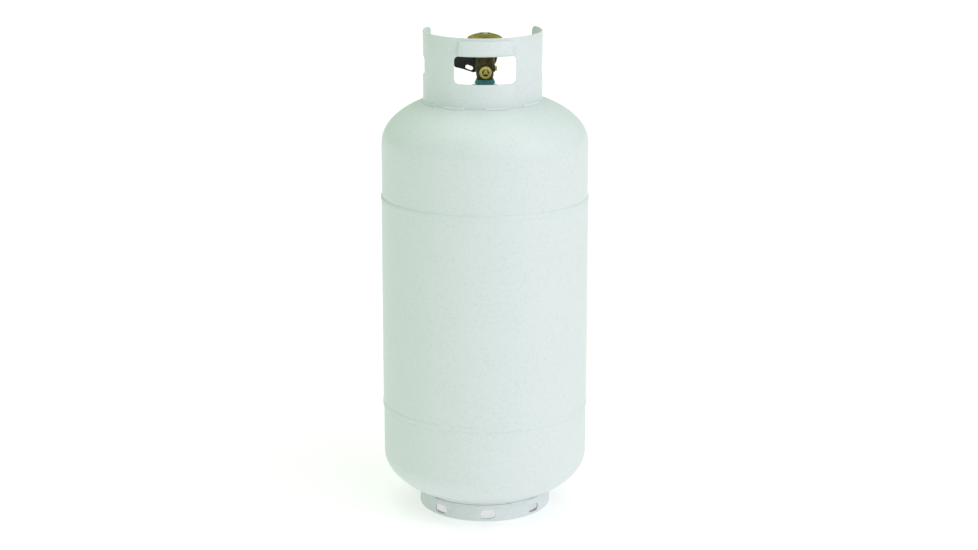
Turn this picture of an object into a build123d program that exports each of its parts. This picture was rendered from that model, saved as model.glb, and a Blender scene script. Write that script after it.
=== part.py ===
"""Portable upright propane cylinder, about 12 in across, with its guard collar, foot ring and service valve.

Millimetres. +Z is up and the origin is on the cylinder's axis, in the plane the foot ring stands on.
-Y is the front: the hand hole in the collar and the relief port face it. +Y is the rear, where the
collar is open and the outlet points. Angles round the cylinder are measured from the front, towards +X.
"""

import os
from math import ceil, cos, radians, sin, sqrt

from build123d import *

os.makedirs("parts", exist_ok=True)

# ---------------------------------------------------------------- driving dimensions: pressure vessel
shell_radius = 155.0
shell_wall = 2.4
head_step = 0.8  # the heads' skirts lie this far inside the shell's outer face
head_wall = 2.6
head_depth = shell_radius / 2  # from the tangent plane, where a head's skirt turns into its crown
ground_gap = 10.5  # from the bottom head down to the floor
straight_length = 478.0  # between the two heads' tangent planes
lower_skirt = 78.0
upper_skirt = 86.0
lower_tangent_z = ground_gap + head_depth
upper_tangent_z = lower_tangent_z + straight_length
lower_seam_z = lower_tangent_z + lower_skirt
upper_seam_z = upper_tangent_z - upper_skirt
crown_z = upper_tangent_z + head_depth  # heights above here are measured from the top of the crown
joggle_length = 14.0
joggle_ramp = 3.0
slip_gap = 0.1  # between the joggled skirt and the shell round it

weld_height = 0.8
weld_reach = 5.0
seam_weld_angle = 152.0
seam_weld_width = 7.0

# ---------------------------------------------------------------- collar and foot ring
collar_radius = 88.5
collar_wall = 2.6
collar_offset = -3.2  # it is welded a little to the left of the cylinder's axis
collar_top_z = crown_z + 89.5
collar_half_wrap = 118.8
collar_corner = 9.0

window_width = 90.0
window_bottom_z = crown_z + 22.0
window_top_z = crown_z + 63.0
window_corner = 7.0

grip_half_angle = 24.8  # the grip is the window's flap, folded outwards and up
grip_top_z = crown_z + 85.7
fold_gap = 2.0
grip_rest_gap = 0.3

side_hole_angle = 93.0
side_hole_width = 46.0
side_hole_bottom_z = crown_z + 23.0
side_hole_top_z = crown_z + 53.5

foot_radius = 99.5
foot_wall = 2.6
foot_gap = 1.8  # left open between the ring and the head, except at its welds
foot_curl = 5.0
foot_flange = 11.0
slot_count = 8
slot_length = 23.0
slot_height = 13.4
slot_z = 12.2

stitch_radius = 3.0
collar_stitches = ((-79.0, -52.0), (-44.0, -20.0), (-2.0, 24.0), (38.0, 66.0))
foot_stitches = 4
foot_stitch_middle = 29.0
foot_stitch_angle = 18.5

# ---------------------------------------------------------------- spud and valve, along the cylinder's axis
spud_radius = 22.0
spud_bottom_z = crown_z - 11.5
spud_top_z = crown_z + 6.5
spud_chamfer = 1.2

shank_radius = 13.0
shank_bottom_z = crown_z - 13.5
ring_bottom_z = crown_z + 10.5
ring_height = 6.0
ring_foot_radius = 15.4
ring_lip = 2.0
barrel_radius = 14.6
barrel_foot_radius = 12.8
barrel_full_z = crown_z + 42.5  # the barrel widens up to here
barrel_edge = 0.8
neck_radius = 12.2
neck_height = 3.5
body_top_z = crown_z + 62.5
inlet_radius = 4.5
chamber_radius = 7.0
bonnet_bore_radius = 9.5
bonnet_bore_depth = 6.0
seat_z = crown_z + 36.5
seat_lip_height = 0.8
seat_lip_width = 0.9

relief_z = crown_z + 29.0
relief_reach = 21.0
relief_boss_radius = 9.2
relief_bore_radius = 6.8
relief_seat_y = 8.0
relief_passage_radius = 3.0
relief_lip_height = 0.6
relief_lip_width = 0.8
relief_disc_radius = 4.8
relief_disc_height = 1.0
relief_poppet_radius = 5.2
relief_poppet_height = 1.8
relief_pin_radius = 0.95
relief_retainer_height = 3.5
relief_opening_radius = 5.4
relief_hub_radius = 2.5
relief_spoke_width = 1.6
relief_lift = 2.0

outlet_z = crown_z + 46.5
outlet_neck_radius = 12.4
outlet_thread_start = 20.0
outlet_thread_end = 35.0
outlet_thread_radius = 16.67
thread_pitch = 5.08
thread_depth = 1.6
outlet_bore_radius = 11.2
check_bore_radius = 9.0
check_bore_start = 9.6
check_seat_y = 17.0
check_seat_height = 3.0
check_seat_radius = 5.0
check_poppet_radius = 7.2
check_poppet_height = 2.4
check_nose_radius = 3.6
check_nose_length = 4.4
check_travel = 2.0
outlet_bore_start = 22.0
outlet_seal_radius = 8.0
outlet_seal_width = 2.4
spring_wire = 0.4
spring_turns = 3.25
outlet_passage_radius = 3.8

bleed_z = crown_z + 32.0
bleed_boss_radius = 5.0
bleed_boss_end = 15.2
bleed_bore_radius = 2.6
bleed_seat_x = 11.0
bleed_disc_radius = 2.2
bleed_disc_height = 1.0
bleed_head_radius = 3.6
bleed_head_gap = 0.5
bleed_head_height = 2.2
bleed_slot_width = 0.9
dip_offset = 8.6
dip_passage_radius = 1.2
dip_radius = 2.4
dip_wall = 0.8
dip_bottom_z = crown_z - 153.5
dip_socket_depth = 8.0

bonnet_flats = 23.0
bonnet_height = 6.0
gasket_height = 0.6
gasket_radius = 11.4
stem_radius = 4.0
stem_foot_radius = 6.4
running_gap = 0.06
clear_gap = 0.2
stem_drive = 6.2
stem_top_z = crown_z + 79.0
seal_wire = 0.9

spindle_lift = 2.4  # one and a half turns of the fine thread
spindle_thread_length = 3.5
spindle_shank_radius = 3.6
tang_width = 2.4
tang_length = 4.7

wheel_radius = 27.2
wheel_valley = 24.4
scallop_radius = 32.0
wheel_lobes = 3
wheel_bottom_z = crown_z + 70.3
wheel_rim_z = crown_z + 76.0
wheel_crown_z = crown_z + 84.7
wheel_wall = 3.0
wheel_hub_radius = 8.5
wheel_recess_radius = 7.6
wheel_recess_z = crown_z + 81.7
screw_head_radius = 4.6
screw_head_height = 3.4
screw_shank_radius = 1.5
washer_height = 0.8

# ---------------------------------------------------------------- dust cap and its leash
cap_gap = 0.35
cap_wall = 2.0
cap_start_y = 21.4
cap_end_y = 39.4
cap_face_wall = 2.6
cap_ribs = 24
rib_radius = 0.7
lug_y = 33.0
lug_radius = 3.6
leash_ring_start_y = 15.4
leash_ring_width = 3.0
leash_ring_radius = 19.0
tab_end_x = -45.0
tab_top_z = crown_z + 51.5
tab_bottom_z = crown_z + 32.1
tab_root_x = -16.5
tab_root_z = crown_z + 23.5
tab_corner = 3.5
tab_hole_x = -22.6
tab_hole_z = crown_z + 30.9
tab_hole_length = 12.0
tab_hole_height = 6.2
tab_hole_tilt = -22.0
tab_thickness = 3.0
strand_width = 4.4
strand_thickness = 2.4
strand_root_x = -30.0
strand_bend_x = -38.0

# ---------------------------------------------------------------- overfill stop, inside the cylinder
stop_offset = -4.0  # its axis lies beside the dip tube
stop_radius = 7.0
stop_bore_radius = 4.6
stop_nipple_radius = 6.0
stop_nipple_height = 7.0
stop_outlet_radius = 1.1
stop_port_radius = 3.0
stop_shoulder_z = crown_z - 30.0
stop_bottom_z = crown_z - 60.5
pivot_z = crown_z - 53.5
piston_lift = 2.2
cam_radius = 4.5
cam_offset = 2.2
cam_thickness = 3.0
cam_swing = 60.0  # the arm's whole travel; half of it lies on each side of the cam's mean height
cam_gap = 0.3
cam_slot_gap = 0.3
cam_slot_top = 7.5
arm_rest_angle = 15.0
arm_rod_radius = 1.4
arm_length = 122.0
float_radius = 10.5
float_start = 62.0
float_length = 56.0
pin_radius = 1.25
clip_radius = 3.2
clip_height = 1.2

# ---------------------------------------------------------------- worked out from the above
head_radius = shell_radius - head_step
joggle_radius = shell_radius - shell_wall - slip_gap
foot_joint_z = lower_tangent_z - head_depth * sqrt(1 - (foot_radius / head_radius) ** 2)
foot_top_z = foot_joint_z - foot_gap
barrel_bottom_z = ring_bottom_z + ring_height
bonnet_bottom_z = body_top_z - bonnet_bore_depth
bonnet_hex_z = body_top_z + gasket_height
bonnet_top_z = bonnet_hex_z + bonnet_height
stem_foot_bottom_z = bonnet_bottom_z + clear_gap
stem_foot_top_z = bonnet_hex_z + clear_gap
spindle_top_z = stem_foot_bottom_z - clear_gap - spindle_lift - 0.3
seat_disc_height = 2.5
holder_height = 3.2
holder_radius = chamber_radius - 1.8
nose_radius = 3.0
nose_height = 2.2
cap_bore_radius = outlet_thread_radius + cap_gap
cap_radius = cap_bore_radius + cap_wall


def toward(angle, radius):
    """The point at that radius and angle round the cylinder, measured from the front towards +X."""
    return (radius * sin(radians(angle)), -radius * cos(radians(angle)))


def radial_plane(angle):
    """A plane through the cylinder's axis: local x points outwards at that angle and local y is up."""
    a = radians(angle)
    return Plane(origin=(0, 0, 0), x_dir=(sin(a), -cos(a), 0), z_dir=(-cos(a), -sin(a), 0))


def facing_plane(angle, radius, z):
    """A plane square to the radius at that angle: its normal points outwards and local y is up."""
    a = radians(angle)
    x, y = toward(angle, radius)
    return Plane(origin=(x, y, z), x_dir=(cos(a), sin(a), 0), z_dir=(sin(a), -cos(a), 0))


def wedge(start, end, reach):
    """Corners of a slice from the axis outwards, between two angles, wider than the reach all along."""
    steps = ceil((end - start) / 40)
    rim = reach / cos(radians(20))
    return [(0, 0)] + [toward(start + (end - start) * i / steps, rim) for i in range(steps + 1)]


def crown_height(radius):
    """How far a head's outer crown rises from its tangent plane, at a radius."""
    return head_depth * sqrt(1 - (radius / head_radius) ** 2)


def rod(plane, radius, length, mode=Mode.ADD):
    """A round bar that starts on the plane and runs along its normal."""
    with Locations(plane):
        Cylinder(radius, length, align=(Align.CENTER, Align.CENTER, Align.MIN), mode=mode)


def rear_plane(y, z):
    """A plane square to the outlet's axis: its normal points to the rear."""
    return Plane(origin=(0, y, z), x_dir=(1, 0, 0), z_dir=(0, 1, 0))


def front_plane(y, z):
    """A plane square to the relief port's axis: its normal points to the front."""
    return Plane(origin=(0, -y, z), x_dir=(1, 0, 0), z_dir=(0, -1, 0))


def right_plane(x, z):
    """A plane square to the bleeder's axis: its normal points to the right."""
    return Plane(origin=(x, 0, z), x_dir=(0, 1, 0), z_dir=(1, 0, 0))


def finish(part, name):
    """Labels a finished piece and writes it."""
    part.label = name
    export_step(part, f"parts/{name}.step")


# ================================================================ pressure vessel
def drawn_head(tangent_z, skirt, side, bore):
    """A drawn head with a joggled edge. Side is +1 for a crown above its tangent plane, -1 for one below."""
    seam_z = tangent_z - side * skirt
    inner = head_radius - head_wall
    inner_joggle = joggle_radius - head_wall
    inner_depth = head_depth - head_wall
    start = 0 if side > 0 else 270
    with BuildPart() as head:
        with BuildSketch(Plane.XZ):
            with BuildLine():
                EllipticalCenterArc((0, tangent_z), head_radius, head_depth, start_angle=start, arc_size=90)
                Polyline(
                    (head_radius, tangent_z),
                    (head_radius, seam_z + side * joggle_ramp),
                    (joggle_radius, seam_z),
                    (joggle_radius, seam_z - side * joggle_length),
                    (inner_joggle, seam_z - side * joggle_length),
                    (inner_joggle, seam_z),
                    (inner, seam_z + side * joggle_ramp),
                    (inner, tangent_z),
                )
                EllipticalCenterArc((0, tangent_z), inner, inner_depth, start_angle=start, arc_size=90)
                Line((0, tangent_z + side * inner_depth), (0, tangent_z + side * head_depth))
            make_face()
        revolve(axis=Axis.Z)
        if bore:
            rod(Plane.XY.offset(tangent_z), bore, 2 * head_depth, mode=Mode.SUBTRACT)
    return head.part


finish(drawn_head(upper_tangent_z, upper_tangent_z - upper_seam_z, 1, spud_radius), "top_head")
finish(drawn_head(lower_tangent_z, lower_seam_z - lower_tangent_z, -1, 0), "bottom_head")

with BuildPart() as shell:
    with BuildSketch(Plane.XY.offset(lower_seam_z)):
        Circle(shell_radius)
        Circle(shell_radius - shell_wall, mode=Mode.SUBTRACT)
    extrude(amount=upper_seam_z - lower_seam_z)
finish(shell.part, "shell")

# The vessel's outer form as one solid, which trims whatever is welded to it.
with BuildPart() as vessel_form:
    with BuildSketch(Plane.XZ):
        with BuildLine():
            EllipticalCenterArc((0, upper_tangent_z), head_radius, head_depth, start_angle=0, arc_size=90)
            Line((head_radius, upper_tangent_z), (head_radius, lower_tangent_z))
            EllipticalCenterArc((0, lower_tangent_z), head_radius, head_depth, start_angle=270, arc_size=90)
            Line((0, lower_tangent_z - head_depth), (0, upper_tangent_z + head_depth))
        make_face()
    revolve(axis=Axis.Z)


def girth_weld(seam_z, side):
    """A weld bead that fills a joggle's groove. Side is +1 where the head is above the shell."""
    with BuildPart() as bead:
        with BuildSketch(Plane.XZ):
            with BuildLine():
                Polyline(
                    (head_radius, seam_z + side * (joggle_ramp + weld_reach / 2)),
                    (head_radius, seam_z + side * joggle_ramp),
                    (joggle_radius, seam_z),
                    (shell_radius, seam_z),
                    (shell_radius, seam_z - side * weld_reach / 2),
                )
                ThreePointArc(
                    (shell_radius, seam_z - side * weld_reach / 2),
                    (shell_radius + weld_height, seam_z + side * weld_reach / 4),
                    (head_radius, seam_z + side * (joggle_ramp + weld_reach / 2)),
                )
            make_face()
        revolve(axis=Axis.Z)
    return bead


finish(girth_weld(upper_seam_z, 1).part, "upper_girth_weld")
finish(girth_weld(lower_seam_z, -1).part, "lower_girth_weld")

with BuildPart() as shell_seam_weld:
    with BuildSketch(Plane.XY.offset(lower_seam_z + weld_reach)):
        with Locations(Location(toward(seam_weld_angle, shell_radius), seam_weld_angle)):
            Ellipse(seam_weld_width / 2, weld_height)
        Circle(shell_radius, mode=Mode.SUBTRACT)
    extrude(amount=upper_seam_z - lower_seam_z - 2 * weld_reach)
finish(shell_seam_weld.part, "shell_seam_weld")

# ================================================================ collar
# It is drawn round its own axis, with the vessel moved the other way, and then put in its place.
collar_place = Location((collar_offset, 0, 0))
vessel_from_collar = Location((-collar_offset, 0, 0)) * vessel_form.part
collar_joint_z = upper_tangent_z + crown_height(collar_radius)

with BuildPart() as collar:
    with BuildSketch(Plane.XY.offset(upper_tangent_z)):
        Circle(collar_radius)
        Circle(collar_radius - collar_wall, mode=Mode.SUBTRACT)
        Polygon(
            *wedge(collar_half_wrap, 360 - collar_half_wrap, collar_radius), align=None, mode=Mode.SUBTRACT
        )
    extrude(amount=collar_top_z - upper_tangent_z)
    # rounded top corners at the collar's ends
    across = edges().filter_by(lambda e: abs(e.length - collar_wall) < 0.01)
    fillet(across.filter_by(lambda e: abs(e.center().Z - collar_top_z) < 0.01), collar_corner)
    add(vessel_from_collar, mode=Mode.SUBTRACT)
    # hand holes: the wide front one and a smaller one on each side
    with BuildSketch(facing_plane(0, collar_radius / 2, (window_bottom_z + window_top_z) / 2)):
        RectangleRounded(window_width, window_top_z - window_bottom_z, window_corner)
    extrude(amount=collar_radius, mode=Mode.SUBTRACT)
    for side in (-1, 1):
        middle_z = (side_hole_bottom_z + side_hole_top_z) / 2
        with BuildSketch(facing_plane(side * side_hole_angle, collar_radius / 2, middle_z)):
            RectangleRounded(side_hole_width, side_hole_top_z - side_hole_bottom_z, window_corner)
        extrude(amount=collar_radius, mode=Mode.SUBTRACT)
    # the hand hole's flap, folded out and up into a rounded grip
    fold_x = collar_radius + fold_gap
    fold_z = window_top_z + fold_gap + collar_wall
    with BuildSketch(radial_plane(-grip_half_angle)):
        with BuildLine():
            CenterArc((fold_x, fold_z), fold_gap + collar_wall, 180, 180)
            Polyline(
                (fold_x + fold_gap + collar_wall, fold_z),
                (collar_radius + grip_rest_gap + collar_wall, grip_top_z),
                (collar_radius + grip_rest_gap, grip_top_z),
                (fold_x + fold_gap, fold_z),
            )
            CenterArc((fold_x, fold_z), fold_gap, 180, 180)
            Line((collar_radius - collar_wall, fold_z), (collar_radius, fold_z))
        make_face()
    revolve(axis=Axis.Z, revolution_arc=2 * grip_half_angle)
finish(collar_place * collar.part, "collar")


def stitch_weld(start, end, radius, z, trims):
    """A short fillet weld on the vessel, along the outer face of a ring, between two angles."""
    with BuildPart() as bead:
        with BuildSketch(radial_plane(start)):
            with Locations((radius, z)):
                Circle(stitch_radius)
        revolve(axis=Axis.Z, revolution_arc=end - start)
        for trim in trims:
            add(trim, mode=Mode.SUBTRACT)
    return bead.part


with BuildPart() as collar_core:
    with BuildSketch(Plane.XY.offset(upper_tangent_z)):
        Circle(collar_radius)
    extrude(amount=collar_top_z - upper_tangent_z)

collar_stitch_parts = [
    stitch_weld(start, end, collar_radius, collar_joint_z, [vessel_from_collar, collar_core.part])
    for start, end in collar_stitches
]
with BuildPart() as collar_welds:
    for stitch in collar_stitch_parts:
        add(stitch)
finish(collar_place * collar_welds.part, "collar_welds")

# ================================================================ foot ring
with BuildPart() as foot_ring:
    inner_curl = foot_curl - foot_wall
    with BuildSketch(Plane.XZ):
        with BuildLine():
            Line((foot_radius - foot_wall, foot_top_z), (foot_radius, foot_top_z))
            Line((foot_radius, foot_top_z), (foot_radius, foot_curl))
            CenterArc((foot_radius - foot_curl, foot_curl), foot_curl, 0, -90)
            Polyline(
                (foot_radius - foot_curl, 0),
                (foot_radius - foot_flange, 0),
                (foot_radius - foot_flange, foot_wall),
                (foot_radius - foot_curl, foot_wall),
            )
            CenterArc((foot_radius - foot_curl, foot_curl), inner_curl, 270, 90)
            Line((foot_radius - foot_wall, foot_curl), (foot_radius - foot_wall, foot_top_z))
        make_face()
    revolve(axis=Axis.Z)
    for number in range(slot_count):
        with BuildSketch(facing_plane(360 / slot_count * number, foot_radius - foot_flange, slot_z)):
            SlotOverall(slot_length, slot_height)
        extrude(amount=2 * foot_flange, mode=Mode.SUBTRACT)
finish(foot_ring.part, "foot_ring")

foot_stitch_parts = []
for number in range(foot_stitches):
    start = foot_stitch_middle + 360 / foot_stitches * number - foot_stitch_angle / 2
    weld_z = foot_joint_z - foot_wall / 2
    trims = [vessel_form.part, foot_ring.part]
    foot_stitch_parts.append(stitch_weld(start, start + foot_stitch_angle, foot_radius, weld_z, trims))
with BuildPart() as foot_ring_welds:
    for stitch in foot_stitch_parts:
        add(stitch)
finish(foot_ring_welds.part, "foot_ring_welds")

# ================================================================ spud
with BuildPart() as spud:
    with BuildSketch(Plane.XY.offset(spud_bottom_z)):
        Circle(spud_radius)
        Circle(shank_radius, mode=Mode.SUBTRACT)
    extrude(amount=spud_top_z - spud_bottom_z)
    chamfer(edges().group_by(Axis.Z)[-1].sort_by(SortBy.RADIUS)[-1], spud_chamfer)
finish(spud.part, "spud")

with BuildPart() as spud_weld:
    with BuildSketch(Plane.XZ):
        with Locations((spud_radius, upper_tangent_z + crown_height(spud_radius))):
            Circle(1.4 * stitch_radius)
    revolve(axis=Axis.Z)
    add(vessel_form.part, mode=Mode.SUBTRACT)
    with BuildSketch(Plane.XY.offset(spud_bottom_z)):
        Circle(spud_radius)
    extrude(amount=spud_top_z - spud_bottom_z, mode=Mode.SUBTRACT)
finish(spud_weld.part, "spud_weld")

# ================================================================ service valve: the forged body
with BuildPart() as valve_body:
    rod(Plane.XY.offset(shank_bottom_z), shank_radius, barrel_bottom_z - shank_bottom_z)
    neck_top_z = barrel_bottom_z + neck_height
    with BuildSketch(Plane.XZ):
        with BuildLine():
            Polyline(
                (0, barrel_bottom_z),
                (neck_radius, barrel_bottom_z),
                (neck_radius, neck_top_z),
                (barrel_foot_radius, neck_top_z + barrel_edge),
                (barrel_radius, barrel_full_z),
                (barrel_radius, body_top_z - barrel_edge),
                (barrel_radius - barrel_edge, body_top_z),
                (0, body_top_z),
                close=True,
            )
        make_face()
    revolve(axis=Axis.Z)
    rod(front_plane(0, relief_z), relief_boss_radius, relief_reach)
    rod(rear_plane(0, outlet_z), outlet_neck_radius, outlet_thread_start)
    thread_length = outlet_thread_end - outlet_thread_start
    rod(rear_plane(outlet_thread_start, outlet_z), outlet_thread_radius, thread_length)
    rod(right_plane(0, bleed_z), bleed_boss_radius, bleed_boss_end)
    fillet(edges().filter_by(GeomType.CIRCLE).group_by(Axis.Y)[0], 0.6)
    # the outlet's thread, cut as rings
    grooves = int(thread_length / thread_pitch)
    with BuildSketch(Plane.YZ):
        for number in range(grooves):
            with Locations(
                (outlet_thread_start + (number + 0.75) * thread_pitch, outlet_z + outlet_thread_radius)
            ):
                Trapezoid(thread_pitch * 0.6, 2 * thread_depth, 75.5, rotation=180)
    revolve(axis=Axis((0, 0, outlet_z), (0, 1, 0)), mode=Mode.SUBTRACT)
    # main passage and chamber, leaving a raised lip for the seat disc
    rod(Plane.XY.offset(shank_bottom_z), inlet_radius, seat_z - shank_bottom_z, mode=Mode.SUBTRACT)
    rod(Plane.XY.offset(seat_z), chamber_radius, body_top_z - seat_z, mode=Mode.SUBTRACT)
    rod(Plane.XY.offset(bonnet_bottom_z), bonnet_bore_radius, bonnet_bore_depth, mode=Mode.SUBTRACT)
    with BuildSketch(Plane.XY.offset(seat_z)):
        Circle(inlet_radius + seat_lip_width)
        Circle(inlet_radius, mode=Mode.SUBTRACT)
    extrude(amount=seat_lip_height)
    # relief port, with its own lip
    rod(front_plane(0, relief_z), relief_passage_radius, relief_seat_y, mode=Mode.SUBTRACT)
    rod(front_plane(relief_seat_y, relief_z), relief_bore_radius, relief_reach, mode=Mode.SUBTRACT)
    with BuildSketch(front_plane(relief_seat_y, relief_z)):
        Circle(relief_passage_radius + relief_lip_width)
        Circle(relief_passage_radius, mode=Mode.SUBTRACT)
    extrude(amount=relief_lip_height)
    # outlet
    rod(rear_plane(0, outlet_z), outlet_passage_radius, check_bore_start, mode=Mode.SUBTRACT)
    rod(rear_plane(check_bore_start, outlet_z), check_bore_radius, outlet_thread_end, mode=Mode.SUBTRACT)
    rod(rear_plane(outlet_bore_start, outlet_z), outlet_bore_radius, outlet_thread_end, mode=Mode.SUBTRACT)
    # bleeder, the passage down to the dip tube and the sockets in the shank's end
    rod(right_plane(bleed_seat_x, bleed_z), bleed_bore_radius, bleed_boss_end, mode=Mode.SUBTRACT)
    rod(right_plane(dip_offset, bleed_z), dip_passage_radius, bleed_boss_end - dip_offset, mode=Mode.SUBTRACT)
    with Locations((dip_offset, 0)):
        rod(Plane.XY.offset(shank_bottom_z), dip_passage_radius, bleed_z - shank_bottom_z, mode=Mode.SUBTRACT)
        rod(Plane.XY.offset(shank_bottom_z), dip_radius, dip_socket_depth, mode=Mode.SUBTRACT)
    with Locations((stop_offset, 0)):
        rod(Plane.XY.offset(shank_bottom_z), stop_nipple_radius, stop_nipple_height, mode=Mode.SUBTRACT)
finish(valve_body.part, "valve_body")

with BuildPart() as neck_seal_ring:
    with BuildSketch(Plane.XZ):
        with BuildLine():
            Polyline(
                (shank_radius, ring_bottom_z),
                (ring_foot_radius, ring_bottom_z),
                (ring_foot_radius, ring_bottom_z + 1.0),
                (ring_foot_radius - ring_lip, ring_bottom_z + ring_height - 1.0),
                (ring_foot_radius - ring_lip, ring_bottom_z + ring_height),
                (shank_radius, ring_bottom_z + ring_height),
                (shank_radius, ring_bottom_z),
            )
        make_face()
    revolve(axis=Axis.Z)
finish(neck_seal_ring.part, "neck_seal_ring")

# ---------------------------------------------------------------- bonnet, stem and handwheel
stem_bore_radius = stem_radius + running_gap
foot_bore_radius = stem_foot_radius + clear_gap
groove_radius = stem_bore_radius + 1.9 * seal_wire
groove_start_z = bonnet_hex_z + bonnet_height / 2 - 1.1 * seal_wire

with BuildPart() as bonnet_nut:
    with BuildSketch(Plane.XY.offset(bonnet_hex_z)):
        RegularPolygon(bonnet_flats / 2, 6, major_radius=False)
    extrude(amount=bonnet_height)
    chamfer(faces().sort_by(Axis.Z)[-1].edges(), 0.6)
    rod(Plane.XY.offset(bonnet_bottom_z), bonnet_bore_radius, bonnet_hex_z - bonnet_bottom_z)
    cavity_height = stem_foot_top_z + clear_gap - bonnet_bottom_z
    rod(Plane.XY.offset(bonnet_bottom_z), foot_bore_radius, cavity_height, mode=Mode.SUBTRACT)
    stem_hole_height = bonnet_top_z - bonnet_bottom_z
    rod(Plane.XY.offset(bonnet_bottom_z), stem_bore_radius, stem_hole_height, mode=Mode.SUBTRACT)
    rod(Plane.XY.offset(groove_start_z), groove_radius, 2.2 * seal_wire, mode=Mode.SUBTRACT)
finish(bonnet_nut.part, "bonnet_nut")

with BuildPart() as bonnet_gasket:
    with BuildSketch(Plane.XY.offset(body_top_z)):
        Circle(gasket_radius)
        Circle(bonnet_bore_radius, mode=Mode.SUBTRACT)
    extrude(amount=gasket_height)
finish(bonnet_gasket.part, "bonnet_gasket")

with BuildPart() as stem_seal:
    with Locations((0, 0, groove_start_z + 1.1 * seal_wire)):
        Torus(groove_radius - 0.95 * seal_wire, 0.9 * seal_wire)
finish(stem_seal.part, "stem_seal")

with BuildPart() as upper_stem:
    rod(Plane.XY.offset(stem_foot_bottom_z), stem_foot_radius, stem_foot_top_z - stem_foot_bottom_z)
    rod(Plane.XY.offset(stem_foot_bottom_z), stem_radius, bonnet_top_z + 1.0 - stem_foot_bottom_z)
    with BuildSketch(Plane.XY.offset(bonnet_top_z + 1.0)):
        Rectangle(stem_drive, stem_drive)
        Circle(stem_radius, mode=Mode.INTERSECT)
    extrude(amount=stem_top_z - bonnet_top_z - 1.0)
    rod(Plane.XY.offset(stem_top_z - 8.0), screw_shank_radius, 8.0, mode=Mode.SUBTRACT)
    # slot that drives the spindle's tang
    with Locations((0, 0, stem_foot_bottom_z)):
        Box(
            2 * stem_foot_radius,
            tang_width + 2 * clear_gap,
            stem_foot_top_z - stem_foot_bottom_z - 1.2,
            align=(Align.CENTER, Align.CENTER, Align.MIN),
            mode=Mode.SUBTRACT,
        )
finish(upper_stem.part, "upper_stem")


def wheel_form(inset):
    """The handwheel's lobed dome, drawn in by an inset: 0 outside, the wheel's wall for the hollow."""
    with BuildPart() as form:
        with BuildSketch(Plane.XY.offset(wheel_bottom_z)):
            Circle(wheel_radius - inset)
            with PolarLocations(wheel_valley + scallop_radius, wheel_lobes, start_angle=90):
                Circle(scallop_radius + inset, mode=Mode.SUBTRACT)
            fillet(vertices(), 4.0)
        extrude(amount=wheel_crown_z - wheel_bottom_z)
        with BuildSketch(Plane.XZ):
            with BuildLine():
                Polyline(
                    (0, wheel_crown_z - inset),
                    (0, wheel_bottom_z),
                    (wheel_radius - inset, wheel_bottom_z),
                    (wheel_radius - inset, wheel_rim_z - inset),
                )
                ThreePointArc(
                    (wheel_radius - inset, wheel_rim_z - inset),
                    (wheel_radius * 0.66 - inset / 2, wheel_crown_z - 2.0 - inset),
                    (wheel_hub_radius, wheel_crown_z - inset),
                )
                Line((wheel_hub_radius, wheel_crown_z - inset), (0, wheel_crown_z - inset))
            make_face()
        revolve(axis=Axis.Z, mode=Mode.INTERSECT)
    return form.part


with BuildPart() as handwheel:
    add(wheel_form(0))
    add(wheel_form(wheel_wall), mode=Mode.SUBTRACT)
    rod(Plane.XY.offset(wheel_bottom_z), wheel_hub_radius, wheel_recess_z - wheel_bottom_z)
    with BuildSketch(Plane.XY.offset(wheel_bottom_z)):
        Rectangle(stem_drive, stem_drive)
        Circle(stem_radius, mode=Mode.INTERSECT)
    extrude(amount=wheel_recess_z - wheel_bottom_z, mode=Mode.SUBTRACT)
    rod(Plane.XY.offset(wheel_recess_z), wheel_recess_radius, wheel_crown_z, mode=Mode.SUBTRACT)
finish(handwheel.part, "handwheel")

with BuildPart() as handwheel_washer:
    rod(Plane.XY.offset(wheel_recess_z), wheel_recess_radius - 0.8, washer_height)
    rod(Plane.XY.offset(wheel_recess_z), screw_shank_radius, washer_height, mode=Mode.SUBTRACT)
finish(handwheel_washer.part, "handwheel_washer")

with BuildPart() as handwheel_screw:
    head_z = wheel_recess_z + washer_height
    rod(Plane.XY.offset(head_z), screw_head_radius, screw_head_height)
    fillet(edges().group_by(Axis.Z)[-1], 1.2)
    rod(Plane.XY.offset(stem_top_z - 7.5), screw_shank_radius, head_z - stem_top_z + 7.5)
    with Locations((0, 0, head_z + screw_head_height)):
        Box(1.1, 5.6, 2.4, mode=Mode.SUBTRACT)
        Box(5.6, 1.1, 2.4, mode=Mode.SUBTRACT)
finish(handwheel_screw.part, "handwheel_screw")

# ---------------------------------------------------------------- seat disc and its screw spindle
seat_disc_z = seat_z + seat_lip_height
holder_z = seat_disc_z + seat_disc_height
holder_top_z = holder_z + holder_height

with BuildPart() as seat_disc:
    rod(Plane.XY.offset(seat_disc_z), holder_radius - 0.2, seat_disc_height)
finish(seat_disc.part, "seat_disc")

with BuildPart() as disc_holder:
    rod(Plane.XY.offset(holder_z), holder_radius, holder_height)
    nose_plane = Plane.XY.offset(holder_top_z - nose_height)
    rod(nose_plane, nose_radius + running_gap, nose_height, mode=Mode.SUBTRACT)
finish(disc_holder.part, "disc_holder")

with BuildPart() as lower_spindle:
    nose_z = holder_top_z - nose_height + 0.1
    rod(Plane.XY.offset(nose_z), nose_radius, nose_height)
    shank_z = nose_z + nose_height
    thread_z = spindle_top_z - spindle_thread_length
    rod(Plane.XY.offset(shank_z), spindle_shank_radius, thread_z - shank_z)
    rod(Plane.XY.offset(thread_z), chamber_radius - running_gap, spindle_thread_length)
    with Locations((0, 0, spindle_top_z)):
        Box(
            2 * stem_foot_radius - 2.4, tang_width, tang_length, align=(Align.CENTER, Align.CENTER, Align.MIN)
        )
finish(lower_spindle.part, "lower_spindle")


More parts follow.
